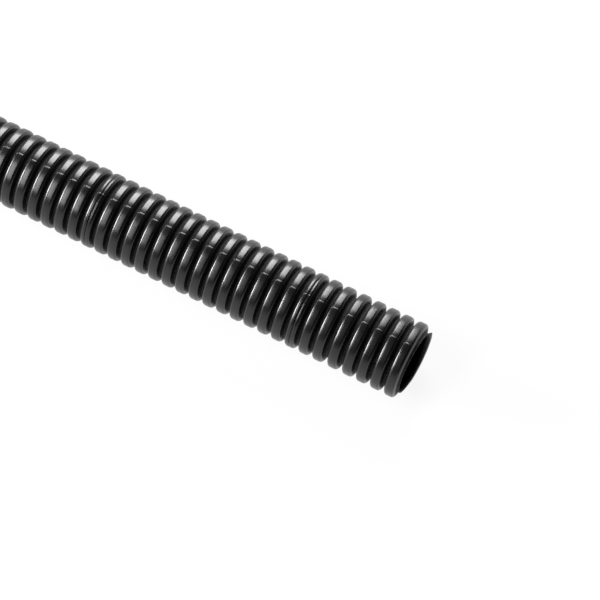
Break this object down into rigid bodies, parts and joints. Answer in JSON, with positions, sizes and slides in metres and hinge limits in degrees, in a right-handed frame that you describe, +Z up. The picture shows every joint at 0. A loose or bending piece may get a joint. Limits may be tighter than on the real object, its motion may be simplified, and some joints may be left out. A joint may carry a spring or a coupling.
{
  "type": "corrugated conduit",
  "caption": "Straight length of black corrugated plastic conduit with annular ribs, knife cut at a slight slope at one end and square at the other.",
  "frame": {"origin": "on the floor below the tube's axis, halfway along its length", "axes": "+X along the tube's axis towards the sloping knife cut, +Z up from the floor that the crests lie on"},
  "size_m": [1.0008, 0.0212, 0.0212],
  "materials": {
    "black_polyamide": "glossy moulded polyamide, black"
  },
  "bodies": {
    "root": {"conduit": "black_polyamide"}
  },
  "joints": []
}
